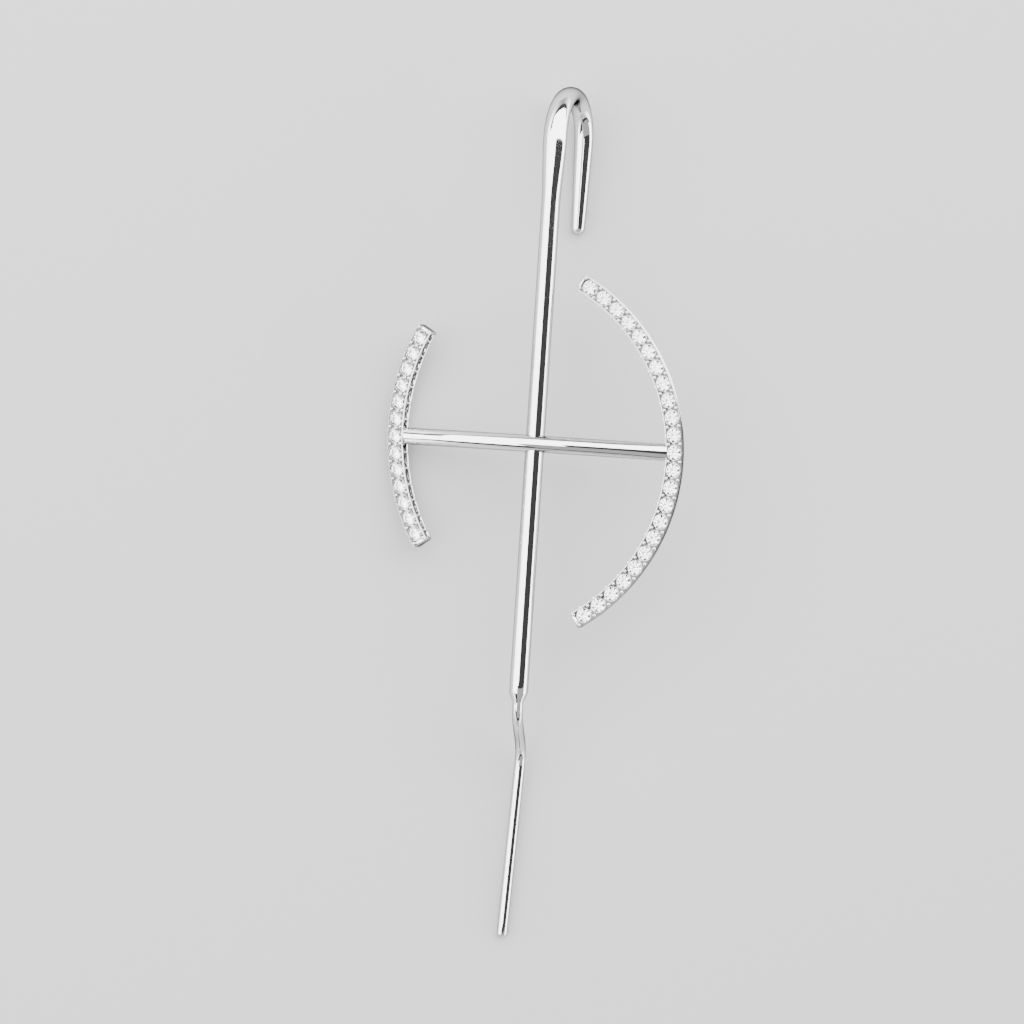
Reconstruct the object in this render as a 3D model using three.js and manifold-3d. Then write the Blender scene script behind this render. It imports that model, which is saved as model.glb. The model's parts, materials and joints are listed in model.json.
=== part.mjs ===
// An ear cuff of polished silver. One long rod hooks over the rim of the ear and ends below
// in a thin post that passes through the lobe. A bowed bar crosses it and carries two curved
// settings of round brilliants. Rod, bar and settings are soldered into one piece of metal.
//
// Millimetres. The cuff is modelled as it is worn: X to the right, Y away from the viewer,
// Z up along the rod, with the origin where bar and rod cross. At the end it is laid on its
// back, stones up, as it comes to rest by itself, with the rod along Y.

import * as THREE from 'three';
import { mergeVertices } from 'three/addons/utils/BufferGeometryUtils.js';
import { ConvexHull } from 'three/addons/math/ConvexHull.js';
import Module from 'manifold-3d';

// Rod
const ROD_DIAMETER = 1.65;
const ROD_ABOVE_BAR = 27.2; // up to the foot of the hook's arch
const ROD_BELOW_BAR = 22.05; // down to the shoulder
const SHOULDER_LENGTH = 0.8; // taper from the rod to the post

// Hook over the rim of the ear
const HOOK_REACH = 7.5; // from the rod's centre back to the rear leg's centre
const HOOK_SIDE = 1.6; // to the right over that reach
const HOOK_RISE = 4.1; // from the arch's foot to the centre of its crest
const HOOK_WIDTH = 2.15; // across the wire at the arch's foot, from where it thins to the tip
const HOOK_FLARE = 6.0; // stretch of the rod that widens into the hook
const HOOK_LEG = 8.0; // straight rear leg
const HOOK_TIP_DIAMETER = 1.2;
const HOOK_TIP_ROUNDING = 0.55;

// Post through the lobe
const POST_DIAMETER = 0.95;
const POST_REACH = 4.6; // back from the rod's centre to the tail's centre
const POST_SIDE = -0.1; // to the right over that reach
const POST_DROP = 6.0; // height of the bend through the lobe
const POST_TAIL = 15.2; // height of the straight tail behind the lobe
const POST_LEAN = -0.6; // to the right, down the tail's height
const POST_TIP_ROUNDING = 0.2;

// Bar across the rod
const BAR_DIAMETER = 1.5;
const BAR_END_THICKNESS = 1.05; // front to back where it meets a setting
const BAR_BOW_RADIUS = 40.0;
const BAR_FORWARD = 0.35; // the bar's centre in front of the rod's
const BAR_LEFT = 12.6; // from the rod to the middle of the left setting
const BAR_RIGHT = 12.3; // from the rod to the middle of the right setting
const BAR_SEATING = 0.3; // how far the bar's ends reach into the settings

// Settings
const SETTING_WIDTH = 1.5;
const SETTING_DEPTH = 1.2;
const SETTING_END_BEVEL = 0.14;
const SETTING_END = 1.0; // from the last stone's centre to the blunt end
const SETTING_TURN = 2.7; // degrees, anticlockwise in each setting's own plane
const LEFT_RADIUS = 18.0;
const LEFT_STONES = 13;
const LEFT_PITCH = 1.515;
const RIGHT_RADIUS = 17.4;
const RIGHT_STONES = 23;
const RIGHT_PITCH = 1.56;
const RIGHT_FACE_TURN = -20; // degrees, its face turned from the bar's bow towards the rod

// Round brilliants
const STONE_DIAMETER = 1.25;
const STONE_CROWN = 0.19; // from the girdle up to the table
const STONE_PAVILION = 0.52; // from the girdle down to the culet
const STONE_GIRDLE = 0.04;
const STONE_SUNK = 0.12; // the girdle's upper edge below the setting's face
const STONE_TABLE_SHARE = 0.56;
const STONE_STAR_SHARE = 0.76; // radius of the star facets' tips
const STONE_LOWER_SHARE = 0.25; // radius of the lower facets' tips

// Seats, gallery and prongs
const SEAT_CLEARANCE = 0.04;
const CULET_HOLE_DIAMETER = 0.5;
const GALLERY_LENGTH = 0.72; // along the setting
const GALLERY_HEIGHT = 0.44;
const GALLERY_BELOW_FACE = 0.76; // to the hole's middle
const PRONG_DIAMETER = 0.4;
const PRONG_HEIGHT = 0.18; // above the setting's face
const PRONG_SPACING = 1.0; // between the two prongs of a pair
const PIN_DIAMETER = 0.28; // on the inner wall, one beside each stone
const PIN_HEIGHT = 0.18; // out of the wall
const PIN_BELOW_FACE = 0.7;
const PRONG_TOP_SHARE = 0.55; // a prong's width at its top
const PIN_TOP_SHARE = 0.8; // a pin's width at its end
const PRONG_FOOT = 0.06; // how far a prong or pin is let into its surface

// Materials
const SILVER_DENSITY = 10.4; // g/cm3, for the resting pose
const STONE_DENSITY = 5.7;

// How finely the round forms are divided
const WIRE_SIDES = 12;
const ARCH_STEPS = 12;
const BEND_STEPS = 8;
const TIP_STEPS = 3;
const BAR_STEPS = 8;
const SEAT_SIDES = 8;
const GALLERY_SIDES = 6;
const PRONG_SIDES = 5;
const CUTTER_MARGIN = 0.3; // how far a cut runs past the surface

const UP = new THREE.Vector3(0, 0, 1);
const wasm = await Module();
wasm.setup();

// Solids

function toSolid(geometry) {
  const bare = geometry.clone();
  bare.deleteAttribute('normal');
  bare.deleteAttribute('uv');
  const merged = mergeVertices(bare, 1e-5);
  const vertProperties = Float32Array.from(merged.attributes.position.array);
  const triVerts = Uint32Array.from(dropSlivers(merged.index.array));
  return new wasm.Manifold(new wasm.Mesh({ numProp: 3, vertProperties, triVerts }));
}

// A lathe or sphere leaves triangles with two equal corners on its axis
function dropSlivers(index) {
  const kept = [];
  for (let i = 0; i < index.length; i += 3) {
    const [a, b, c] = [index[i], index[i + 1], index[i + 2]];
    if (a !== b && b !== c && c !== a) kept.push(a, b, c);
  }
  return kept;
}

function toGeometry(solid) {
  const mesh = solid.getMesh();
  const geometry = new THREE.BufferGeometry();
  geometry.setAttribute('position', new THREE.BufferAttribute(Float32Array.from(mesh.vertProperties), 3));
  geometry.setIndex(new THREE.BufferAttribute(Uint32Array.from(mesh.triVerts), 1));
  geometry.computeVertexNormals();
  return geometry;
}

// Joins rings of points into one closed skin, with a fan over each end.
// Each ring runs anticlockwise as seen from the next one.
function closedSweep(rings) {
  const sides = rings[0].length;
  const points = rings.flat();
  const index = [];
  for (let i = 0; i + 1 < rings.length; i++) {
    for (let j = 0; j < sides; j++) {
      const a = i * sides + j;
      const b = i * sides + (j + 1) % sides;
      index.push(a, b, b + sides, a, b + sides, a + sides);
    }
  }
  const lastRing = (rings.length - 1) * sides;
  const first = points.push(middleOf(rings[0])) - 1;
  const last = points.push(middleOf(rings[rings.length - 1])) - 1;
  for (let j = 0; j < sides; j++) {
    const next = (j + 1) % sides;
    index.push(first, next, j, last, lastRing + j, lastRing + next);
  }
  const geometry = new THREE.BufferGeometry().setFromPoints(points);
  geometry.setIndex(index);
  return geometry;
}

function middleOf(points) {
  const sum = new THREE.Vector3();
  points.forEach((point) => sum.add(point));
  return sum.divideScalar(points.length);
}

// A wire through stations { at, tangent, width, thickness }, its width lying along widthWay
function wire(stations, widthWay) {
  const rings = stations.map(({ at, tangent, width, thickness }) => {
    const across = widthWay.clone().addScaledVector(tangent, -widthWay.dot(tangent)).normalize();
    const along = tangent.clone().cross(across);
    const ring = [];
    for (let j = 0; j < WIRE_SIDES; j++) {
      const angle = (j / WIRE_SIDES) * 2 * Math.PI;
      ring.push(at.clone()
        .addScaledVector(across, (width / 2) * Math.cos(angle))
        .addScaledVector(along, (thickness / 2) * Math.sin(angle)));
    }
    return ring;
  });
  return toSolid(closedSweep(rings));
}

// Stations of a blunt tip with a rounded edge, which starts at `at` and runs along `outward`
function tipStations(at, outward, tangent, diameter, rounding) {
  const stations = [];
  for (let i = 0; i <= TIP_STEPS; i++) {
    const angle = (i / TIP_STEPS) * (Math.PI / 2);
    const size = diameter - 2 * rounding * (1 - Math.cos(angle));
    const place = at.clone().addScaledVector(outward, rounding * Math.sin(angle));
    stations.push({ at: place, tangent, width: size, thickness: size });
  }
  return stations;
}

// Rod, hook and post, one wire from the post's tip up to the hook's tip

function rodAndHook() {
  const down = UP.clone().negate();
  const shoulderTop = new THREE.Vector3(0, 0, -ROD_BELOW_BAR);
  const shoulderFoot = new THREE.Vector3(0, 0, -ROD_BELOW_BAR - SHOULDER_LENGTH);
  const tailTop = new THREE.Vector3(POST_SIDE, POST_REACH, shoulderFoot.z - POST_DROP);
  const tailFoot = tailTop.clone().add(new THREE.Vector3(POST_LEAN, 0, -POST_TAIL));
  const tailUp = tailTop.clone().sub(tailFoot).normalize();
  const tailDown = tailUp.clone().negate();
  const tailEdge = tailFoot.clone().addScaledVector(tailUp, POST_TIP_ROUNDING);
  const archFoot = new THREE.Vector3(0, 0, ROD_ABOVE_BAR);
  const flareFoot = new THREE.Vector3(0, 0, ROD_ABOVE_BAR - HOOK_FLARE);
  const reach = new THREE.Vector3(HOOK_SIDE, HOOK_REACH, 0);
  const legTop = archFoot.clone().add(reach);
  const legEdge = legTop.clone().addScaledVector(down, HOOK_LEG - HOOK_TIP_ROUNDING);
  const round = (at, tangent, size) => ({ at, tangent, width: size, thickness: size });

  const stations = tipStations(tailEdge, tailDown, tailUp, POST_DIAMETER, POST_TIP_ROUNDING).reverse();

  const handle = POST_DROP / 2;
  const bend = new THREE.CubicBezierCurve3(
    tailTop, tailTop.clone().addScaledVector(tailUp, handle),
    shoulderFoot.clone().addScaledVector(down, handle), shoulderFoot);
  for (let i = 0; i <= BEND_STEPS; i++) {
    const t = i / BEND_STEPS;
    stations.push(round(bend.getPoint(t), bend.getTangent(t), POST_DIAMETER));
  }
  stations.push(round(shoulderTop, UP, ROD_DIAMETER));
  stations.push(round(flareFoot, UP, ROD_DIAMETER));

  for (let i = 0; i <= ARCH_STEPS; i++) {
    const angle = (i / ARCH_STEPS) * Math.PI;
    const at = archFoot.clone()
      .addScaledVector(reach, (1 - Math.cos(angle)) / 2)
      .addScaledVector(UP, HOOK_RISE * Math.sin(angle));
    const tangent = reach.clone().multiplyScalar(Math.sin(angle) / 2)
      .addScaledVector(UP, HOOK_RISE * Math.cos(angle)).normalize();
    const taper = (HOOK_REACH * i / ARCH_STEPS) / (HOOK_REACH + HOOK_LEG);
    stations.push({
      at, tangent,
      width: THREE.MathUtils.lerp(HOOK_WIDTH, HOOK_TIP_DIAMETER, taper),
      thickness: THREE.MathUtils.lerp(ROD_DIAMETER, HOOK_TIP_DIAMETER, taper),
    });
  }
  stations.push(...tipStations(legEdge, down, down, HOOK_TIP_DIAMETER, HOOK_TIP_ROUNDING));

  return wire(stations, reach.clone().cross(UP).normalize());
}

// Bar: a bow in the horizontal plane, bulging towards the viewer

function barPoint(angle) {
  return new THREE.Vector3(
    BAR_BOW_RADIUS * Math.sin(angle),
    BAR_BOW_RADIUS * (1 - Math.cos(angle)) - BAR_FORWARD,
    0);
}

// The bar's angle on its bow at a setting's middle, positive to the right
const LEFT_ANGLE = -Math.asin(BAR_LEFT / BAR_BOW_RADIUS);
const RIGHT_ANGLE = Math.asin(BAR_RIGHT / BAR_BOW_RADIUS);

function bar() {
  const shortBy = (SETTING_WIDTH / 2 - BAR_SEATING) / BAR_BOW_RADIUS;
  const stations = [];
  for (let i = 0; i <= BAR_STEPS; i++) {
    const angle = THREE.MathUtils.lerp(LEFT_ANGLE + shortBy, RIGHT_ANGLE - shortBy, i / BAR_STEPS);
    const tangent = new THREE.Vector3(Math.cos(angle), Math.sin(angle), 0);
    const thickness = i % BAR_STEPS === 0 ? BAR_END_THICKNESS : BAR_DIAMETER;
    stations.push({ at: barPoint(angle), tangent, width: BAR_DIAMETER, thickness });
  }
  return wire(stations, UP);
}

// Settings. Each is made flat: its own X points outwards from the rod, Y along the setting
// at its middle and Z out of its face. The curve's centre lies at X = -radius.

const LEFT = {
  name: 'left', stones: LEFT_STONES, radius: LEFT_RADIUS, pitch: LEFT_PITCH,
  place: settingPlace(LEFT_ANGLE, 0), upwards: -1,
};
const RIGHT = {
  name: 'right', stones: RIGHT_STONES, radius: RIGHT_RADIUS, pitch: RIGHT_PITCH,
  place: settingPlace(RIGHT_ANGLE, RIGHT_FACE_TURN), upwards: 1,
};

// Where a setting sits on the end of the bar, its face square to the bow and then turned
function settingPlace(angle, faceTurn) {
  const outwards = new THREE.Vector3(Math.cos(angle), Math.sin(angle), 0).multiplyScalar(Math.sign(angle));
  const face = new THREE.Vector3(Math.sin(angle), -Math.cos(angle), 0);
  const along = face.clone().cross(outwards);
  const place = new THREE.Matrix4().makeBasis(outwards, along, face).setPosition(barPoint(angle));
  place.multiply(new THREE.Matrix4().makeRotationY(THREE.MathUtils.degToRad(faceTurn)));
  return place.multiply(new THREE.Matrix4().makeRotationZ(THREE.MathUtils.degToRad(SETTING_TURN)));
}

// A frame on the setting's centre line, `length` along it from the middle
function onSetting(setting, length) {
  const angle = length / setting.radius;
  const frame = new THREE.Matrix4().makeTranslation(-setting.radius, 0, 0);
  frame.multiply(new THREE.Matrix4().makeRotationZ(angle));
  frame.multiply(new THREE.Matrix4().makeTranslation(setting.radius, 0, 0));
  return setting.place.clone().multiply(frame);
}

function stoneLength(setting, i) {
  return setting.upwards * ((setting.stones - 1) / 2 - i) * setting.pitch;
}

function gapLength(setting, i) {
  return stoneLength(setting, i - 0.5);
}

// A four-cornered section, `inset` smaller all round
function settingRing(setting, length, inset) {
  const frame = onSetting(setting, length);
  const [w, d] = [SETTING_WIDTH / 2 - inset, SETTING_DEPTH / 2 - inset];
  const corners = [[-w, -d], [-w, d], [w, d], [w, -d]];
  return corners.map(([x, z]) => new THREE.Vector3(x, 0, z).applyMatrix4(frame));
}

function settingBlank(setting) {
  const half = ((setting.stones - 1) / 2) * setting.pitch + SETTING_END;
  const rings = [settingRing(setting, -half, SETTING_END_BEVEL)];
  for (let i = 0; i <= setting.stones; i++) {
    const share = i / setting.stones;
    const reach = half - SETTING_END_BEVEL;
    const length = THREE.MathUtils.lerp(-reach, reach, share);
    rings.push(settingRing(setting, length, 0));
  }
  rings.push(settingRing(setting, half, SETTING_END_BEVEL));
  return toSolid(closedSweep(rings));
}

// A shape made round its own Z, put on the setting at a place across and out of it
function placed(geometry, setting, length, across, out) {
  const offset = new THREE.Matrix4().makeTranslation(across, 0, out);
  return toSolid(geometry.clone().applyMatrix4(onSetting(setting, length).multiply(offset)));
}

// The room for a stone: its own outline with clearance, and a hole below its culet
function seatCutter() {
  const flat = STONE_DIAMETER / 2 + SEAT_CLEARANCE;
  const radius = flat / Math.cos(Math.PI / SEAT_SIDES);
  const hole = CULET_HOLE_DIAMETER / 2;
  const ledge = -STONE_SUNK - STONE_GIRDLE - SEAT_CLEARANCE;
  const coneFoot = ledge - STONE_PAVILION * (1 - hole / radius);
  const profile = [
    new THREE.Vector2(0, -SETTING_DEPTH - CUTTER_MARGIN),
    new THREE.Vector2(hole, -SETTING_DEPTH - CUTTER_MARGIN),
    new THREE.Vector2(hole, coneFoot),
    new THREE.Vector2(radius, ledge),
    new THREE.Vector2(radius, CUTTER_MARGIN),
    new THREE.Vector2(0, CUTTER_MARGIN),
  ];
  const cutter = new THREE.LatheGeometry(profile, SEAT_SIDES);
  cutter.rotateX(Math.PI / 2);
  return cutter;
}

// An oval hole across the setting, between two stones
function galleryCutter() {
  const cutter = new THREE.CylinderGeometry(0.5, 0.5, SETTING_WIDTH + 2 * CUTTER_MARGIN, GALLERY_SIDES);
  cutter.rotateZ(Math.PI / 2);
  cutter.scale(1, GALLERY_LENGTH, GALLERY_HEIGHT);
  return cutter;
}

// A stub that stands out of a surface at Z = 0 by its height, with a short foot in it
function stub(diameter, height, topShare) {
  const radius = diameter / 2;
  const body = new THREE.CylinderGeometry(
    radius * topShare, radius, height + PRONG_FOOT, PRONG_SIDES);
  return body.rotateX(Math.PI / 2).translate(0, 0, (height - PRONG_FOOT) / 2);
}

function setting(side) {
  const face = SETTING_DEPTH / 2;
  let solid = settingBlank(side);
  for (let i = 1; i < side.stones; i++) {
    const hole = placed(galleryCutter(), side, gapLength(side, i), 0, face - GALLERY_BELOW_FACE);
    solid = solid.subtract(hole);
  }
  for (let i = 0; i <= side.stones; i++) {
    for (const across of [-PRONG_SPACING / 2, PRONG_SPACING / 2]) {
      const prong = stub(PRONG_DIAMETER, PRONG_HEIGHT, PRONG_TOP_SHARE);
      solid = solid.add(placed(prong, side, gapLength(side, i), across, face));
    }
  }
  for (let i = 0; i < side.stones; i++) {
    const pin = stub(PIN_DIAMETER, PIN_HEIGHT, PIN_TOP_SHARE).rotateY(-Math.PI / 2);
    solid = solid.add(placed(pin, side, stoneLength(side, i),
      -SETTING_WIDTH / 2, face - PIN_BELOW_FACE));
  }
  return solid;
}

// Stones

// A full round brilliant round Z, its girdle's upper edge at Z = 0
function brilliant() {
  const radius = STONE_DIAMETER / 2;
  const eighth = Math.PI / 4;
  const points = [];
  const ring = (count, share, height, shift) => {
    const start = points.length;
    for (let i = 0; i < count; i++) {
      const angle = ((i + shift) / count) * 2 * Math.PI;
      points.push(new THREE.Vector3(
        radius * share * Math.cos(angle), radius * share * Math.sin(angle), height));
    }
    return (i) => start + ((i % count) + count) % count;
  };
  const starHeight = STONE_CROWN
    * (1 - STONE_STAR_SHARE * Math.cos(eighth / 2)) / (1 - STONE_TABLE_SHARE);
  const lowerHeight = -STONE_GIRDLE
    - STONE_PAVILION * (1 - STONE_LOWER_SHARE * Math.cos(eighth / 2));
  const table = ring(8, STONE_TABLE_SHARE, STONE_CROWN, 0);
  const star = ring(8, STONE_STAR_SHARE, starHeight, 0.5);
  const upper = ring(16, 1, 0, 0);
  const lower = ring(16, 1, -STONE_GIRDLE, 0);
  const tip = ring(8, STONE_LOWER_SHARE, lowerHeight, 0.5);
  const culet = points.push(new THREE.Vector3(0, 0, -STONE_GIRDLE - STONE_PAVILION)) - 1;

  const index = [];
  for (let i = 1; i < 7; i++) index.push(table(0), table(i), table(i + 1));
  for (let i = 0; i < 8; i++) {
    index.push(table(i), star(i), table(i + 1));
    index.push(table(i), star(i - 1), upper(2 * i), table(i), upper(2 * i), star(i));
    index.push(star(i), upper(2 * i), upper(2 * i + 1), star(i), upper(2 * i + 1), upper(2 * i + 2));
    index.push(tip(i), lower(2 * i + 1), lower(2 * i), tip(i), lower(2 * i + 2), lower(2 * i + 1));
    index.push(culet, tip(i), lower(2 * i), culet, lower(2 * i), tip(i - 1));
  }
  for (let i = 0; i < 16; i++) {
    index.push(upper(i), lower(i), lower(i + 1), upper(i), lower(i + 1), upper(i + 1));
  }
  const geometry = new THREE.BufferGeometry().setFromPoints(points);
  geometry.setIndex(index);
  geometry.computeVertexNormals();
  return geometry;
}

const silver = new THREE.MeshStandardMaterial({ color: 0xd9d9db, metalness: 1, roughness: 0.08 });
const crystal = new THREE.MeshStandardMaterial({ color: 0xf4f6f8, metalness: 0, roughness: 0.02 });

function stoneMeshes(side) {
  const meshes = [];
  for (let i = 0; i < side.stones; i++) {
    const mesh = new THREE.Mesh(brilliant(), crystal);
    mesh.name = `stone_${side.name}_${String(i + 1).padStart(2, '0')}`;
    const sunk = new THREE.Matrix4().makeTranslation(0, 0, SETTING_DEPTH / 2 - STONE_SUNK);
    onSetting(side, stoneLength(side, i)).multiply(sunk)
      .decompose(mesh.position, mesh.quaternion, mesh.scale);
    meshes.push(mesh);
  }
  return meshes;
}

function metalMesh() {
  let solid = rodAndHook().add(bar());
  for (const side of [LEFT, RIGHT]) solid = solid.add(setting(side));
  for (const side of [LEFT, RIGHT]) {
    for (let i = 0; i < side.stones; i++) {
      solid = solid.subtract(placed(seatCutter(), side, stoneLength(side, i), 0, SETTING_DEPTH / 2));
    }
  }
  const mesh = new THREE.Mesh(toGeometry(solid), silver);
  mesh.name = 'cuff_metal';
  return mesh;
}

// The resting pose

function worldCorners(mesh) {
  mesh.updateWorldMatrix(true, false);
  const position = mesh.geometry.attributes.position;
  const corners = [];
  for (let i = 0; i < position.count; i++) {
    corners.push(new THREE.Vector3().fromBufferAttribute(position, i).applyMatrix4(mesh.matrixWorld));
  }
  return corners;
}

function balancePoint(meshes) {
  const moment = new THREE.Vector3();
  let mass = 0;
  for (const mesh of meshes) {
    const corners = worldCorners(mesh);
    const index = mesh.geometry.index;
    const density = mesh.material === silver ? SILVER_DENSITY : STONE_DENSITY;
    for (let i = 0; i < index.count; i += 3) {
      const [a, b, c] = [0, 1, 2].map((k) => corners[index.getX(i + k)]);
      const share = density * a.dot(b.clone().cross(c)) / 6;
      mass += share;
      moment.addScaledVector(a.clone().add(b).add(c), share / 4);
    }
  }
  return moment.divideScalar(mass);
}

// The facet of the hull that the cuff rests on: its balance point lies over the facet, and of
// those it is the one that faces furthest to the back
function restingNormal(meshes) {
  const hull = new ConvexHull().setFromPoints(meshes.flatMap(worldCorners));
  const balance = balancePoint(meshes);
  const backwards = new THREE.Vector3(0, 1, 0);
  let best = null;
  for (const facet of hull.faces) {
    const corners = [facet.edge, facet.edge.next, facet.edge.prev].map((edge) => edge.head().point);
    const foot = new THREE.Plane().setFromNormalAndCoplanarPoint(facet.normal, corners[0])
      .projectPoint(balance, new THREE.Vector3());
    const under = new THREE.Triangle(...corners).containsPoint(foot);
    if (under && (!best || facet.normal.dot(backwards) > best.dot(backwards))) best = facet.normal;
  }
  return best;
}

const meshes = [metalMesh(), ...stoneMeshes(LEFT), ...stoneMeshes(RIGHT)];
const worn = new THREE.Group();
worn.add(...meshes);

// Laid down so that the resting facet faces down and the rod runs along Y, then stood on Z = 0
// over the origin
const down = restingNormal(meshes);
const rest = new THREE.Matrix4();
const restUp = down.clone().negate();
const restRod = UP.clone().addScaledVector(restUp, -UP.dot(restUp)).normalize();
rest.makeBasis(restRod.clone().cross(restUp), restRod, restUp).transpose();
worn.quaternion.setFromRotationMatrix(rest);
const box = new THREE.Box3().setFromPoints(meshes.flatMap(worldCorners));
const middle = box.getCenter(new THREE.Vector3());
worn.position.set(-middle.x, -middle.y, -box.min.z);

const cuff = new THREE.Group();
cuff.add(worn);
cuff.updateMatrixWorld(true);

export default cuff;
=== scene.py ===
"""An ear cuff of polished silver with two curved rows of round brilliants, lying on its back.

The pieces are modelled as the cuff is worn, in millimetres: X to the right, Y away from the
viewer, Z up along the rod, the origin where bar and rod cross. They are then laid down where
the frame has the cuff.
"""

import json
import math

import bmesh
import bpy
import numpy as np
from mathutils import Matrix, Vector

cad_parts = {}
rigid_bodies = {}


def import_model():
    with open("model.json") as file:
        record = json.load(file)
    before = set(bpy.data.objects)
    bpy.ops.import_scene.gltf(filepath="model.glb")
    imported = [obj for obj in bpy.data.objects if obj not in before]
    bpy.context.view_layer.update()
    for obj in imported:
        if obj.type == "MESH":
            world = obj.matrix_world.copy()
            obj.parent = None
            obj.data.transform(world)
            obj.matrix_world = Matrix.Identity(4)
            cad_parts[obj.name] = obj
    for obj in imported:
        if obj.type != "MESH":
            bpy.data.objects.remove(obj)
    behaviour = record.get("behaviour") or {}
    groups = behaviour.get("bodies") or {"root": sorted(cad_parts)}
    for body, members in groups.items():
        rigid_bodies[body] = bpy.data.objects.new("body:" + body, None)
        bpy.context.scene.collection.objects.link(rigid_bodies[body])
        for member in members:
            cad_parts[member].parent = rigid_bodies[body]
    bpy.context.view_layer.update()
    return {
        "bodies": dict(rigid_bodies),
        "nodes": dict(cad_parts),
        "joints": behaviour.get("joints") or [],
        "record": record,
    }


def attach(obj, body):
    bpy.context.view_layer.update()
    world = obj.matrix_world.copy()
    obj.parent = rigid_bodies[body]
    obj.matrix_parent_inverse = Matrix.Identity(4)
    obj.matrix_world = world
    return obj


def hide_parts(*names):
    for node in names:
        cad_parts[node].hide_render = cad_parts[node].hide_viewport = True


MM = 0.001
UP = Vector((0, 0, 1))

# Rod, hook and post
ROD_DIAMETER = 1.65
ROD_ABOVE_BAR = 27.2
ROD_BELOW_BAR = 22.05
SHOULDER_LENGTH = 0.8
SHOULDER_FULLNESS = 0.8  # below 1 the taper swells soonest at the post
HOOK_REACH = Vector((1.6, 7.5, 0))  # from the rod to the rear leg
HOOK_RISE = 4.1
HOOK_WIDTH = 2.15
HOOK_FLARE = 6.0  # the stretch of the rod that widens into the hook
HOOK_LEG = 8.0
HOOK_TIP_DIAMETER = 1.2
HOOK_TIP_ROUNDING = 0.55
POST_DIAMETER = 0.95
POST_REACH = Vector((-0.1, 4.6, 0))
POST_DROP = 6.0
POST_TAIL = Vector((-0.6, 0, -15.2))
POST_TIP_ROUNDING = 0.2

# Bar
BAR_DIAMETER = 1.5
BAR_BOW_RADIUS = 40.0
BAR_FORWARD = 0.35  # the bar's centre in front of the rod's
BAR_LEFT = 12.6
BAR_RIGHT = 12.3
BAR_SEATING = 0.08
BAR_END_THICKNESS = 1.05  # front to back, reached over the taper
BAR_END_TAPER = 5.0
SOLDER_SIZE = Vector((2.3, 1.5, 1.9))

# Settings and stones
SETTING_WIDTH = 1.5
SETTING_DEPTH = 1.2
SETTING_END = 1.0  # from the last stone's centre to the blunt end
SETTING_TURN = math.radians(2.7)
RIGHT_FACE_TURN = math.radians(-20)  # from the bar's bow towards the rod
STONE_DIAMETER = 1.25
STONE_SUNK = 0.12
STONE_GIRDLE = 0.04
STONE_PAVILION = 0.52
SEAT_CLEARANCE = 0.04
CULET_HOLE_DIAMETER = 0.5
TOP_RAIL = 0.2
TOP_RAIL_GROOVE = 0.2  # how deep the cut between two stones is
SEAT_RIM_DIP = 0.1
SEAT_RIM_STEEPNESS = 4
BACK_RAIL = 0.22
CUP_FOOT_RADIUS = 0.43
CUP_STEM_RADIUS = 0.45
CUP_STEM_TOP = 0.42  # above the back
CUP_FLARE_RADIUS = 0.6
CUP_FLARE_DEPTH = 0.58  # below the face, as the next
CUP_RADIUS = 0.735
CUP_RIM_DEPTH = 0.4
END_WALL = 0.3
END_ROUNDING = 0.12
PRONG_DIAMETER = 0.36
PRONG_SPACING = 1.04
PIN_DIAMETER = 0.26
PIN_HEIGHT = 0.18
PIN_BELOW_FACE = 0.7  # to its middle
PIN_ROUNDING = 0.06
EDGE_ROUNDING = 0.06
HOLE_ROUNDING = 0.02

# Fineness
WIRE_SIDES = 40
STRAIGHT_STEP = 1.0
ARCH_STEPS = 36
BEND_STEPS = 24
FLARE_STEPS = 12
TIP_STEPS = 8
SHOULDER_STEPS = 6
BAR_STEPS = 40
HOLE_SIDES = 24
BALL_SIDES = 16
PIN_SIDES = 14
ROUNDING_STEPS = 2
SHARP_EDGE = math.radians(32)
FACING_UP = 0.3  # least Z of the normal of a seat's face
GIRDLE_SHARE = 0.93  # of a stone's reach, which only the girdle's corners pass
NEAR = 0.001  # lengths this close count as the same
PAINTED_SHADE_SLOT = 1  # the near-black silver of painted shade among a setting's materials

# View, measured on the photograph
VIEW_AZIMUTH = math.radians(8)
VIEW_ROLL = math.radians(3.78)
VIEW_DISTANCE = 400.0
VIEW_WIDTH = 90.6
VIEW_CENTRE = (-1.63, -6.15)
SENSOR_WIDTH = 36.0
CLIP_START = 0.01  # in metres

# Finishes
SILVER_TONES = ((0.8, 0.8, 0.805, 1), (0.73, 0.73, 0.74, 1))
SILVER_EDGE_TINT = (0.05, 0.05, 0.055, 1)
SILVER_ROUGHNESS = (0.03, 0.05)  # least, and what the patches add
# Painted shade: the near-black tone of the seats and of the cuts between stones
SEAT_PAINTED_SHADE_TONE = (0.1, 0.1, 0.104, 1)
STONE_TONES = ((1, 1, 1, 1), (0.95, 0.97, 1, 1))
FLOOR_TONE = (0.42, 0.42, 0.42, 1)
GRAIN_ALONG_ROD = (9000, 600, 9000)  # lines to a metre along X, Y and Z
GRAIN_ALONG_BAR = (600, 9000, 9000)
GRAIN_OF_CASTING = (6000, 6000, 6000)

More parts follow.
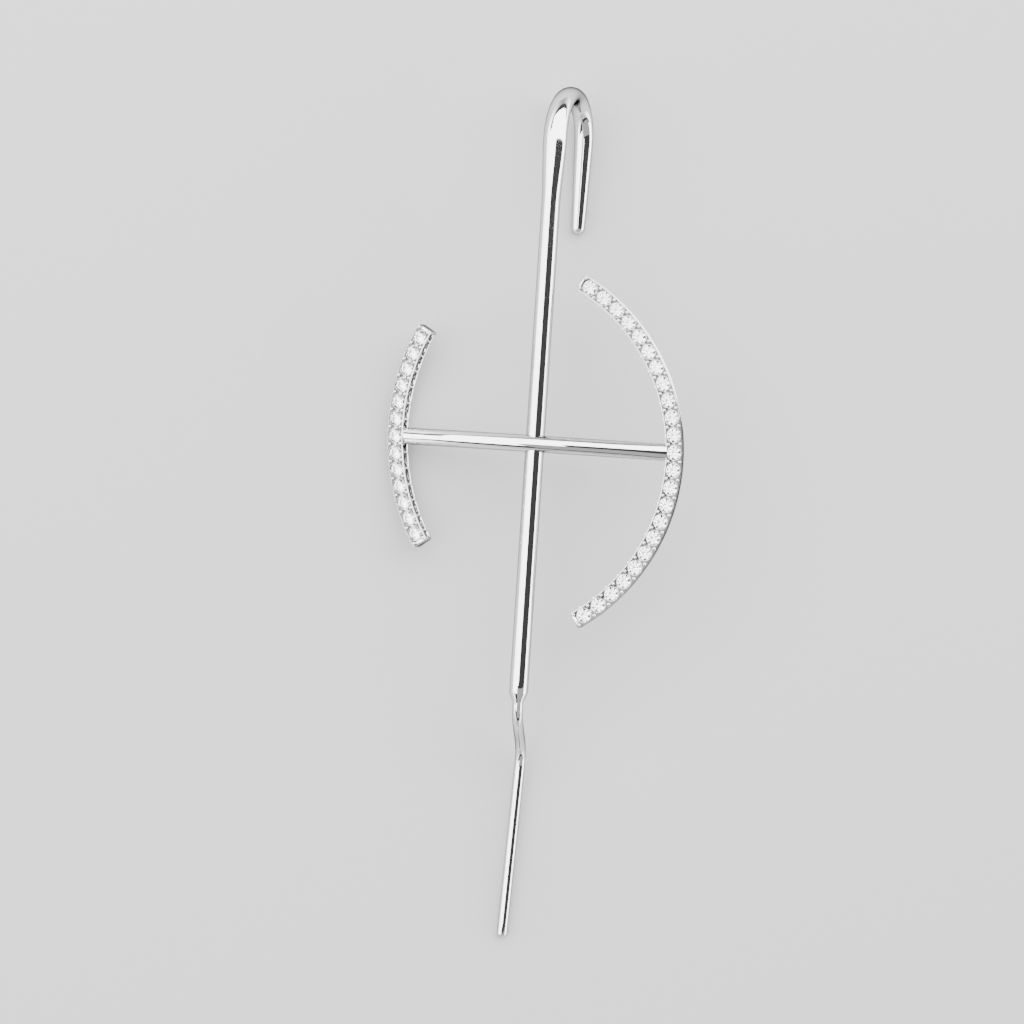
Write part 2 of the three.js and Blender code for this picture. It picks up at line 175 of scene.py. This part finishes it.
# Light, in metres and radiance; a softbox is given by two corners on the ceiling
FLOOR_REACH = 2.0
CEILING_HEIGHT = 0.5
SOFTBOXES = (
    ("softbox left", Vector((-1.5, -0.45)), Vector((-0.3, 0.38)), 8.0),
    ("softbox middle", Vector((-0.3, -0.12)), Vector((-0.16, 0.38)), 8.0),
    ("softbox right", Vector((-0.16, 0.07)), Vector((0.77, 0.38)), 8.0),
    ("softbox far right", Vector((0.77, -0.6)), Vector((1.6, 0.6)), 8.0),
    ("softbox above", Vector((-0.8, 0.38)), Vector((0.77, 0.87)), 8.0),
    ("softbox below", Vector((-0.3, -0.9)), Vector((0.77, -0.16)), 0.6),
)
WALL_TOP = ((0.0, 1.0), (0.26, 1.0), (0.34, 0.0))  # how much of the wall shows, by height
SIDE_WALL_RADIANCE = 6.5
END_WALL_RADIANCE = 0.7
CEILING_RADIANCE = 0.08


# The worn frame

def bar_point(angle):
    return Vector((
        BAR_BOW_RADIUS * math.sin(angle),
        BAR_BOW_RADIUS * (1 - math.cos(angle)) - BAR_FORWARD,
        0,
    ))


class Setting:
    """A curved row of stones on one end of the bar."""

    def __init__(self, name, stones, radius, pitch, bar_length, side, face_turn):
        self.name = name
        self.stones = stones
        self.radius = radius
        self.pitch = pitch
        self.side = side
        angle = side * math.asin(bar_length / BAR_BOW_RADIUS)
        outwards = Vector((math.cos(angle), math.sin(angle), 0)) * side
        face = Vector((math.sin(angle), -math.cos(angle), 0))
        square = Matrix((outwards, face.cross(outwards), face)).transposed().to_4x4()
        square.translation = bar_point(angle)
        turn = Matrix.Rotation(face_turn, 4, "Y") @ Matrix.Rotation(SETTING_TURN, 4, "Z")
        self.angle = angle
        self.place = square @ turn
        self.wall_length = (stones - 1) / 2 * pitch + SETTING_END - END_WALL / 2

    def at(self, length):
        """The frame on the setting's centre line, `length` along it from the middle."""
        out = Matrix.Translation((self.radius, 0, 0))
        turn = Matrix.Rotation(length / self.radius, 4, "Z")
        return self.place @ out.inverted() @ turn @ out

    def stone_length(self, i):
        return self.side * ((self.stones - 1) / 2 - i) * self.pitch

    def gap_length(self, i):
        return self.stone_length(i - 0.5)

    def bend(self, point):
        return self.at(point.y) @ Vector((point.x, 0, point.z))


LEFT = Setting("left", stones=13, radius=18.0, pitch=1.515,
               bar_length=BAR_LEFT, side=-1, face_turn=0)
RIGHT = Setting("right", stones=23, radius=17.4, pitch=1.56,
                bar_length=BAR_RIGHT, side=1, face_turn=RIGHT_FACE_TURN)
SETTINGS = (LEFT, RIGHT)


def girdle_middle(stone):
    """The middle of a stone's girdle, whose corners lie furthest from the stone's centre."""
    corners = np.array([stone.matrix_world @ v.co for v in stone.data.vertices])
    corners = np.unique(corners.round(7), axis=0)
    reach = np.linalg.norm(corners - corners.mean(axis=0), axis=1)
    return corners[reach > GIRDLE_SHARE * reach.max()].mean(axis=0)


def laid_down(nodes):
    """The move from the worn frame in millimetres to the cuff's resting place in the frame."""
    worn = []
    resting = []
    for setting in SETTINGS:
        for i in range(setting.stones):
            depth = SETTING_DEPTH / 2 - STONE_SUNK - STONE_GIRDLE / 2
            worn.append(setting.at(setting.stone_length(i)) @ Vector((0, 0, depth)))
            resting.append(girdle_middle(nodes[f"stone_{setting.name}_{i + 1:02d}"]) / MM)
    worn = np.array(worn)
    resting = np.array(resting)
    spread = (resting - resting.mean(axis=0)).T @ (worn - worn.mean(axis=0))
    left, _, right = np.linalg.svd(spread)
    turn = left @ np.diag((1, 1, np.linalg.det(left @ right))) @ right
    move = Matrix(turn.tolist()).to_4x4()
    move.translation = Vector(resting.mean(axis=0) - turn @ worn.mean(axis=0))
    error = np.abs(worn @ turn.T + np.array(move.translation) - resting).max()
    print(f"laid down within {error:.4f} mm")
    return Matrix.Scale(MM, 4) @ move


# Mesh tools

def finished(name, bm, lay, slot, *materials):
    """Turns a worn-frame bmesh into a piece of the cuff, laid down."""
    bmesh.ops.recalc_face_normals(bm, faces=bm.faces)
    bmesh.ops.transform(bm, matrix=lay, verts=bm.verts)
    mesh = bpy.data.meshes.new(name)
    bm.to_mesh(mesh)
    bm.free()
    mesh.shade_smooth()
    mesh.set_sharp_from_angle(angle=SHARP_EDGE)
    for material in materials:
        mesh.materials.append(material)
    piece = bpy.data.objects.new(name, mesh)
    bpy.context.scene.collection.objects.link(piece)
    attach(piece, "root")
    return piece


def verts_in(geom):
    return [item for item in geom if isinstance(item, bmesh.types.BMVert)]


def edges_at(verts):
    return list({edge for vert in verts for edge in vert.link_edges})


def station(at, tangent, width_way, width, thickness):
    """A frame whose unit circle is the wire's section at a point of its route."""
    across = (width_way - tangent * width_way.dot(tangent)).normalized()
    along = tangent.cross(across)
    frame = Matrix((across * width / 2, along * thickness / 2, tangent)).transposed().to_4x4()
    frame.translation = at
    return frame


def swept(bm, stations):
    """A wire: a circle extruded from station to station and closed at both ends."""
    first = bmesh.ops.create_circle(bm, segments=WIRE_SIDES, radius=1, matrix=stations[0])["verts"]
    ring = edges_at(first)
    ends = [ring]
    for here, there in zip(stations, stations[1:]):
        grown = bmesh.ops.extrude_edge_only(bm, edges=ring)["geom"]
        verts = set(verts_in(grown))
        bmesh.ops.transform(bm, matrix=there @ here.inverted(), verts=list(verts))
        ring = [item for item in grown
                if isinstance(item, bmesh.types.BMEdge) and set(item.verts) <= verts]
    ends.append(ring)
    for end in ends:
        bmesh.ops.contextual_create(bm, geom=end)


def blunt_tip(edge, outward, tangent, width_way, diameter, rounding):
    """Stations of a wire's end with a rounded edge, from the full width outwards."""
    stations = []
    for i in range(TIP_STEPS + 1):
        angle = i / TIP_STEPS * math.pi / 2
        size = diameter - 2 * rounding * (1 - math.cos(angle))
        place = edge + outward * rounding * math.sin(angle)
        stations.append(station(place, tangent, width_way, size, size))
    return stations


def eased(share):
    return share * share * (3 - 2 * share)


# Metal pieces

def rod_hook_post(lay, silver):
    way = HOOK_REACH.cross(UP).normalized()
    shoulder_foot = Vector((0, 0, -ROD_BELOW_BAR - SHOULDER_LENGTH))
    tail_top = POST_REACH + Vector((0, 0, shoulder_foot.z - POST_DROP))
    tail_up = -POST_TAIL.normalized()
    tail_edge = tail_top + POST_TAIL + tail_up * POST_TIP_ROUNDING
    arch_foot = Vector((0, 0, ROD_ABOVE_BAR))
    leg_top = arch_foot + HOOK_REACH
    leg_length = HOOK_LEG - HOOK_TIP_ROUNDING
    route = blunt_tip(tail_edge, -tail_up, tail_up, way, POST_DIAMETER, POST_TIP_ROUNDING)[::-1]

    def add(at, tangent, width, thickness):
        route.append(station(at, tangent, way, width, thickness))

    tail_steps = round(POST_TAIL.length / STRAIGHT_STEP)
    for i in range(1, tail_steps):
        add(tail_edge.lerp(tail_top, i / tail_steps), tail_up, POST_DIAMETER, POST_DIAMETER)

    handle = POST_DROP / 2
    corners = (tail_top, tail_top + tail_up * handle, shoulder_foot - UP * handle, shoulder_foot)
    for i in range(BEND_STEPS + 1):
        t = i / BEND_STEPS
        s = 1 - t
        at = (corners[0] * s**3 + corners[1] * 3 * s * s * t
              + corners[2] * 3 * s * t * t + corners[3] * t**3)
        tangent = ((corners[1] - corners[0]) * s * s + (corners[2] - corners[1]) * 2 * s * t
                   + (corners[3] - corners[2]) * t * t).normalized()
        add(at, tangent, POST_DIAMETER, POST_DIAMETER)

    for i in range(1, SHOULDER_STEPS + 1):
        share = i / SHOULDER_STEPS
        size = POST_DIAMETER + (ROD_DIAMETER - POST_DIAMETER) * share ** SHOULDER_FULLNESS
        add(shoulder_foot + UP * SHOULDER_LENGTH * share, UP, size, size)

    straight = ROD_BELOW_BAR + ROD_ABOVE_BAR - HOOK_FLARE
    rod_steps = round(straight / STRAIGHT_STEP)
    for i in range(1, rod_steps + 1):
        at = Vector((0, 0, -ROD_BELOW_BAR + straight * i / rod_steps))
        add(at, UP, ROD_DIAMETER, ROD_DIAMETER)

    for i in range(1, FLARE_STEPS):
        share = i / FLARE_STEPS
        width = ROD_DIAMETER + (HOOK_WIDTH - ROD_DIAMETER) * eased(share)
        add(arch_foot - UP * HOOK_FLARE * (1 - share), UP, width, ROD_DIAMETER)

    def add_thinning(at, tangent, past_foot):
        taper = past_foot / (HOOK_REACH.length + HOOK_LEG)
        width = HOOK_WIDTH + (HOOK_TIP_DIAMETER - HOOK_WIDTH) * taper
        thickness = ROD_DIAMETER + (HOOK_TIP_DIAMETER - ROD_DIAMETER) * taper
        add(at, tangent, width, thickness)

    for i in range(ARCH_STEPS + 1):
        angle = i / ARCH_STEPS * math.pi
        at = arch_foot + HOOK_REACH * (1 - math.cos(angle)) / 2 + UP * HOOK_RISE * math.sin(angle)
        tangent = HOOK_REACH * math.sin(angle) / 2 + UP * HOOK_RISE * math.cos(angle)
        add_thinning(at, tangent.normalized(), HOOK_REACH.length * i / ARCH_STEPS)

    leg_steps = round(HOOK_LEG / STRAIGHT_STEP)
    for i in range(1, leg_steps):
        length = leg_length * i / leg_steps
        add_thinning(leg_top - UP * length, -UP, HOOK_REACH.length + length)
    route.extend(blunt_tip(leg_top - UP * leg_length, -UP, -UP, way,
                           HOOK_TIP_DIAMETER, HOOK_TIP_ROUNDING))

    bm = bmesh.new()
    swept(bm, route)
    return finished("rod_hook_post", bm, lay, "silver", silver)


def crossbar(lay, silver):
    short_by = (SETTING_WIDTH / 2 - BAR_SEATING) / BAR_BOW_RADIUS
    start = LEFT.angle + short_by
    end = RIGHT.angle - short_by
    route = []
    for i in range(BAR_STEPS + 1):
        angle = start + (end - start) * i / BAR_STEPS
        from_end = min(angle - start, end - angle) * BAR_BOW_RADIUS
        fullness = eased(min(1, from_end / BAR_END_TAPER))
        thickness = BAR_END_THICKNESS + (BAR_DIAMETER - BAR_END_THICKNESS) * fullness
        tangent = Vector((math.cos(angle), math.sin(angle), 0))
        if i == BAR_STEPS:
            # The end lies flat on the turned wall of the right setting
            tangent = RIGHT.place.col[0].to_3d()
        route.append(station(bar_point(angle), tangent, UP, BAR_DIAMETER, thickness))
    bm = bmesh.new()
    swept(bm, route)
    return finished("crossbar", bm, lay, "silver", silver)


def solder_joint(lay, silver):
    """The pool of solder that fills the corners where the bar crosses the rod."""
    size = Matrix.Diagonal(SOLDER_SIZE / 2).to_4x4()
    bm = bmesh.new()
    bmesh.ops.create_uvsphere(bm, u_segments=WIRE_SIDES, v_segments=WIRE_SIDES // 2,
                              radius=1, matrix=size)
    return finished("solder_joint", bm, lay, "silver", silver)


def gathered(bm, part, place=None):
    """Moves all of one bmesh into another, at its place on the setting."""
    if place:
        bmesh.ops.transform(part, matrix=place, verts=part.verts)
    mesh = bpy.data.meshes.new("gathered")
    part.to_mesh(mesh)
    part.free()
    bm.from_mesh(mesh)
    bpy.data.meshes.remove(mesh)


def rail_cell(part, setting, hole, rim_dip, groove):
    """One stone's stretch of a rail: a strip round a hole, cut down towards the next stones."""
    half_width = SETTING_WIDTH / 2
    half_pitch = setting.pitch / 2
    rim = bmesh.ops.create_circle(part, segments=HOLE_SIDES, radius=hole / 2)["verts"]
    grown = bmesh.ops.extrude_edge_only(part, edges=edges_at(rim))["geom"]
    for vert in verts_in(grown):
        direction = vert.co.normalized()
        x = abs(direction.x)
        y = abs(direction.y)
        if abs(x - y) < NEAR:
            vert.co.x = math.copysign(half_width, vert.co.x)
            vert.co.y = math.copysign(half_pitch, vert.co.y)
        elif x > y:
            vert.co = direction * half_width / x
        else:
            vert.co = direction * half_pitch / y
            vert.co.z = -groove * (1 - abs(vert.co.x) / half_width)
    for vert in rim:
        vert.co.z = -rim_dip * abs(vert.co.normalized().y) ** SEAT_RIM_STEEPNESS


def pierced_rail(bm, setting, top, thickness, hole, rim_dip, groove):
    """A flat strip with a round hole at each stone, cut down between the stones and bent."""
    half_width = SETTING_WIDTH / 2
    half_length = setting.stones / 2 * setting.pitch
    part = bmesh.new()
    rail_cell(part, setting, hole, rim_dip, groove)
    cell = part.verts[:] + part.edges[:] + part.faces[:]
    for i in range(1, setting.stones):
        copied = bmesh.ops.duplicate(part, geom=cell)["geom"]
        bmesh.ops.translate(part, vec=(0, i * setting.pitch, 0), verts=verts_in(copied))
    to_middle = (0, setting.pitch / 2 - half_length, top)
    bmesh.ops.translate(part, vec=to_middle, verts=part.verts)
    bmesh.ops.remove_doubles(part, verts=part.verts, dist=NEAR)
    for vert in part.verts:
        if abs(vert.co.y) > half_length - NEAR:
            vert.co.y = math.copysign(setting.wall_length, vert.co.y)
            vert.co.z = top
    lower = bmesh.ops.extrude_face_region(part, geom=part.faces[:])["geom"]
    for vert in verts_in(lower):
        vert.co.z = top - thickness
    bmesh.ops.recalc_face_normals(part, faces=part.faces)

    holes = [edge for edge in sharp_edges(part)
             if max(abs(vert.co.x) for vert in edge.verts) < half_width]
    rounded(part, holes, HOLE_ROUNDING)
    outer = [edge for edge in sharp_edges(part)
             if min(abs(vert.co.x) for vert in edge.verts) > half_width - NEAR]
    rounded(part, outer, EDGE_ROUNDING)
    # Painted shade: the upward faces inside the cuts between stones take the near-black seat silver
    if groove:
        part.normal_update()
        for face in part.faces:
            inside = abs(face.calc_center_median().x) < half_width - EDGE_ROUNDING
            if inside and face.normal.z > FACING_UP:
                face.material_index = PAINTED_SHADE_SLOT
    bent(part, setting)
    gathered(bm, part)


def sharp_edges(part):
    return [edge for edge in part.edges if edge.calc_face_angle(0) > SHARP_EDGE]


def rounded(part, edges, rounding):
    bmesh.ops.bevel(part, geom=edges, offset=rounding, segments=ROUNDING_STEPS, profile=0.5,
                    affect="EDGES", material=-1, clamp_overlap=True)


def bent(part, setting):
    for vert in part.verts:
        vert.co = setting.bend(vert.co)


def end_wall(bm, setting, end):
    """The solid block that closes one end of the setting."""
    part = bmesh.new()
    place = Matrix.Translation((0, end * setting.wall_length, 0))
    size = Matrix.Diagonal((SETTING_WIDTH, END_WALL, SETTING_DEPTH, 1))
    bmesh.ops.create_cube(part, size=1, matrix=place @ size)
    rounded(part, part.edges[:], END_ROUNDING)
    bent(part, setting)
    gathered(bm, part)


def cup(bm, setting, length):
    """The turned seat of one stone, with a hole below its culet."""
    face = SETTING_DEPTH / 2
    inner = STONE_DIAMETER / 2 + SEAT_CLEARANCE / 2
    ledge = face - STONE_SUNK - STONE_GIRDLE - SEAT_CLEARANCE
    hole = CULET_HOLE_DIAMETER / 2
    foot = BACK_RAIL / 2 - face
    profile = (
        (inner, face - STONE_SUNK),
        (inner, ledge),
        (hole, ledge - STONE_PAVILION * (1 - hole / inner)),
        (hole, foot),
        (CUP_FOOT_RADIUS, foot),
        (CUP_STEM_RADIUS, CUP_STEM_TOP - face),
        (CUP_FLARE_RADIUS, face - CUP_FLARE_DEPTH),
        (CUP_RADIUS, face - CUP_RIM_DEPTH),
        (CUP_RADIUS, face - STONE_SUNK),
    )
    part = bmesh.new()
    verts = [part.verts.new((radius, 0, z)) for radius, z in profile]
    edges = [part.edges.new((verts[i - 1], verts[i])) for i in range(len(verts))]
    bmesh.ops.spin(part, geom=verts + edges, cent=(0, 0, 0), axis=(0, 0, 1), angle=2 * math.pi,
                   steps=HOLE_SIDES, use_merge=True)
    # Painted shade: the inside of the seat takes the near-black seat silver
    for side in part.faces:
        if side.calc_center_median().to_2d().length < inner:
            side.material_index = PAINTED_SHADE_SLOT
    gathered(bm, part, setting.at(length))


def prong(bm, setting, length, across):
    """A bead of metal pressed over the edges of the stones beside it."""
    part = bmesh.new()
    bmesh.ops.create_uvsphere(part, u_segments=BALL_SIDES, v_segments=BALL_SIDES // 2,
                              radius=PRONG_DIAMETER / 2)
    gathered(bm, part, setting.at(length) @ Matrix.Translation((across, 0, SETTING_DEPTH / 2)))


def pin(bm, setting, length):
    """A short round-ended pin that stands out of the inner wall."""
    part = bmesh.new()
    radius = PIN_DIAMETER / 2
    bmesh.ops.create_cone(part, cap_ends=True, segments=PIN_SIDES, radius1=radius, radius2=radius,
                          depth=2 * PIN_HEIGHT)
    end = [edge for edge in part.edges if min(vert.co.z for vert in edge.verts) > 0]
    rounded(part, end, PIN_ROUNDING)
    place = Matrix.Translation((-SETTING_WIDTH / 2, 0, SETTING_DEPTH / 2 - PIN_BELOW_FACE))
    gathered(bm, part, setting.at(length) @ place @ Matrix.Rotation(-math.pi / 2, 4, "Y"))


def stone_setting(setting, lay, silver, painted_shade_silver):
    face = SETTING_DEPTH / 2
    seat = STONE_DIAMETER + 2 * SEAT_CLEARANCE
    bm = bmesh.new()
    pierced_rail(bm, setting, face, TOP_RAIL, seat, SEAT_RIM_DIP, TOP_RAIL_GROOVE)
    pierced_rail(bm, setting, BACK_RAIL - face, BACK_RAIL, CULET_HOLE_DIAMETER,
                 rim_dip=0, groove=0)
    for end in (-1, 1):
        end_wall(bm, setting, end)
    for i in range(setting.stones):
        cup(bm, setting, setting.stone_length(i))
        pin(bm, setting, setting.stone_length(i))
    for i in range(setting.stones + 1):
        for across in (-PRONG_SPACING / 2, PRONG_SPACING / 2):
            prong(bm, setting, setting.gap_length(i), across)
    # The second material is the near-black silver of painted shade in the seats and cuts
    return finished(f"setting_{setting.name}", bm, lay, "silver", silver, painted_shade_silver)


# Materials

class Value:
    """A number in a node tree. Python's operators on it add Math nodes."""

    def __init__(self, shader, socket):
        self.shader = shader
        self.socket = socket

    def _math(self, operation, *inputs):
        return self.shader.node("ShaderNodeMath", {"operation": operation}, dict(enumerate(inputs)))

    def __add__(self, other):
        return self._math("ADD", self, other)

    def __mul__(self, other):
        return self._math("MULTIPLY", self, other)

    __radd__ = __add__
    __rmul__ = __mul__


class Shader:
    """The node tree of a material or world, and the one method that adds its nodes."""

    def __init__(self, owner):
        owner.use_nodes = True
        self.tree = owner.node_tree
        self.tree.nodes.clear()

    def node(self, kind, settings=None, inputs=None, output=0):
        made = self.tree.nodes.new(kind)
        for name, value in (settings or {}).items():
            if name == "stops":
                elements = made.color_ramp.elements
                for position, _ in value[len(elements):]:
                    elements.new(position)
                for stop, (position, tone) in zip(elements, value):
                    stop.position = position
                    stop.color = (tone, tone, tone, 1)
            else:
                setattr(made, name, value)
        for key, value in (inputs or {}).items():
            if isinstance(value, Value):
                self.tree.links.new(value.socket, made.inputs[key])
            else:
                made.inputs[key].default_value = value
        return Value(self, made.outputs[output]) if made.outputs else None

    def mix(self, factor, first, second):
        """A colour between two others; 6 and 7 are the Mix node's colour sockets, 2 its result."""
        colours = {0: factor, 6: first, 7: second}
        return self.node("ShaderNodeMix", {"data_type": "RGBA"}, colours, output=2)

    def surface(self, inputs):
        """The principled surface of a material."""
        made = self.node("ShaderNodeBsdfPrincipled", inputs=inputs)
        self.node("ShaderNodeOutputMaterial", inputs={"Surface": made})


def polished_silver(name, grain):
    """Rhodium plate: nearly a mirror, with soft patches and faint lines."""
    material = bpy.data.materials.new(name)
    shader = Shader(material)
    place = shader.node("ShaderNodeTexCoord", output="Object")
    patches = shader.node("ShaderNodeTexNoise", inputs={
        "Vector": place, "Scale": 420.0, "Detail": 3.0, "Roughness": 0.5})
    stretched = shader.node("ShaderNodeMapping", inputs={"Vector": place, "Scale": grain})
    lines = shader.node("ShaderNodeTexNoise", inputs={
        "Vector": stretched, "Scale": 1.0, "Detail": 2.0, "Roughness": 0.6})
    bump = shader.node("ShaderNodeBump", inputs={
        "Strength": 0.08, "Distance": 0.00001, "Height": lines})
    least, added = SILVER_ROUGHNESS
    shader.surface({
        "Base Color": shader.mix(patches, *SILVER_TONES), "Metallic": 1.0,
        "Specular Tint": SILVER_EDGE_TINT, "Roughness": patches * added + least, "Normal": bump})
    return material


def seat_silver_painted_shade(name):
    """The stones' seats and the cuts between them: matt, and near-black as painted shade among the
    stones.
    """
    material = bpy.data.materials.new(name)
    Shader(material).surface({"Base Color": SEAT_PAINTED_SHADE_TONE, "Metallic": 1.0, "Roughness": 0.35})
    return material


def clear_stone(name):
    """Clear colourless crystal with polished facets and a breath of tone from stone to stone."""
    material = bpy.data.materials.new(name)
    shader = Shader(material)
    place = shader.node("ShaderNodeTexCoord", output="Object")
    tint = shader.node("ShaderNodeTexNoise", inputs={
        "Vector": place, "Scale": 300.0, "Detail": 1.0, "Roughness": 0.5})
    shader.surface({
        "Base Color": shader.mix(tint, *STONE_TONES), "Roughness": 0.0, "IOR": 2.16,
        "Transmission Weight": 1.0})
    return material


def pale_floor(name):
    material = bpy.data.materials.new(name)
    Shader(material).surface({
        "Base Color": FLOOR_TONE, "Roughness": 0.7, "Specular IOR Level": 0.0})
    return material


def room(name):
    """Low walls, bright at left and right, under a dark ceiling, for the metal to mirror."""
    world = bpy.data.worlds.new(name)
    shader = Shader(world)
    direction = shader.node("ShaderNodeTexCoord", output="Generated")
    across = shader.node("ShaderNodeSeparateXYZ", inputs={"Vector": direction}, output="X")
    height = shader.node("ShaderNodeSeparateXYZ", inputs={"Vector": direction}, output="Z")
    wall = shader.node("ShaderNodeValToRGB", {"stops": WALL_TOP}, {"Fac": height})
    wall_radiance = across * across * SIDE_WALL_RADIANCE + END_WALL_RADIANCE
    radiance = wall * wall_radiance + CEILING_RADIANCE
    surface = shader.node("ShaderNodeBackground", inputs={"Color": radiance, "Strength": 1.0})
    shader.node("ShaderNodeOutputWorld", inputs={"Surface": surface})
    return world


# Surroundings

def view_axes():
    """The camera's right, up and forward in the worn frame, and its right before the roll."""
    level = Vector((math.cos(VIEW_AZIMUTH), math.sin(VIEW_AZIMUTH), 0))
    forward = UP.cross(level)
    right = level * math.cos(VIEW_ROLL) + UP * math.sin(VIEW_ROLL)
    return right, right.cross(forward), forward, level


def add_camera(lay):
    right, up, forward, level = view_axes()
    target = level * VIEW_CENTRE[0] + UP * VIEW_CENTRE[1]
    place = Matrix((right, up, -forward)).transposed().to_4x4()
    place.translation = target - forward * VIEW_DISTANCE
    data = bpy.data.cameras.new("camera")
    data.sensor_width = SENSOR_WIDTH
    data.lens = SENSOR_WIDTH * VIEW_DISTANCE / VIEW_WIDTH
    data.clip_start = CLIP_START
    camera = bpy.data.objects.new("camera", data)
    where, turn, _ = (lay @ place).decompose()
    camera.location = where
    camera.rotation_mode = "QUATERNION"
    camera.rotation_quaternion = turn
    bpy.context.scene.collection.objects.link(camera)
    bpy.context.scene.camera = camera


def add_softbox(name, low, high, radiance):
    """A flat lamp overhead that faces straight down, given by its corners on the ceiling."""
    size = high - low
    data = bpy.data.lights.new(name, "AREA")
    data.shape = "RECTANGLE"
    data.size, data.size_y = size
    data.energy = radiance * math.pi * size.x * size.y
    lamp = bpy.data.objects.new(name, data)
    lamp.location = ((low + high) / 2).to_3d() + UP * CEILING_HEIGHT
    bpy.context.scene.collection.objects.link(lamp)


def add_surroundings():
    bm = bmesh.new()
    bmesh.ops.create_grid(bm, x_segments=1, y_segments=1, size=FLOOR_REACH)
    mesh = bpy.data.meshes.new("floor")
    bm.to_mesh(mesh)
    bm.free()
    mesh.materials.append(pale_floor("pale floor"))
    floor = bpy.data.objects.new("floor", mesh)
    bpy.context.scene.collection.objects.link(floor)
    bpy.context.scene.world = room("room")
    for softbox in SOFTBOXES:
        add_softbox(*softbox)


def main():
    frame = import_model()
    nodes = frame["nodes"]
    lay = laid_down(nodes)
    add_camera(lay)
    add_surroundings()

    rod_silver = polished_silver("silver drawn along the rod", GRAIN_ALONG_ROD)
    bar_silver = polished_silver("silver drawn along the bar", GRAIN_ALONG_BAR)
    cast_silver = polished_silver("cast silver", GRAIN_OF_CASTING)
    # Near-black silver for the seats and the cuts between stones: painted shade
    painted_shade_silver = seat_silver_painted_shade("seat silver with painted shade")
    stone = clear_stone("clear stone")
    metal = [
        rod_hook_post(lay, rod_silver),
        crossbar(lay, bar_silver),
        solder_joint(lay, cast_silver),
        stone_setting(LEFT, lay, cast_silver, painted_shade_silver),
        stone_setting(RIGHT, lay, cast_silver, painted_shade_silver),
    ]
    for piece in metal:
        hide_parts("cuff_metal")
    for name, node in nodes.items():
        if name.startswith("stone_"):
            node.data.materials.clear()
            node.data.materials.append(stone)


main()
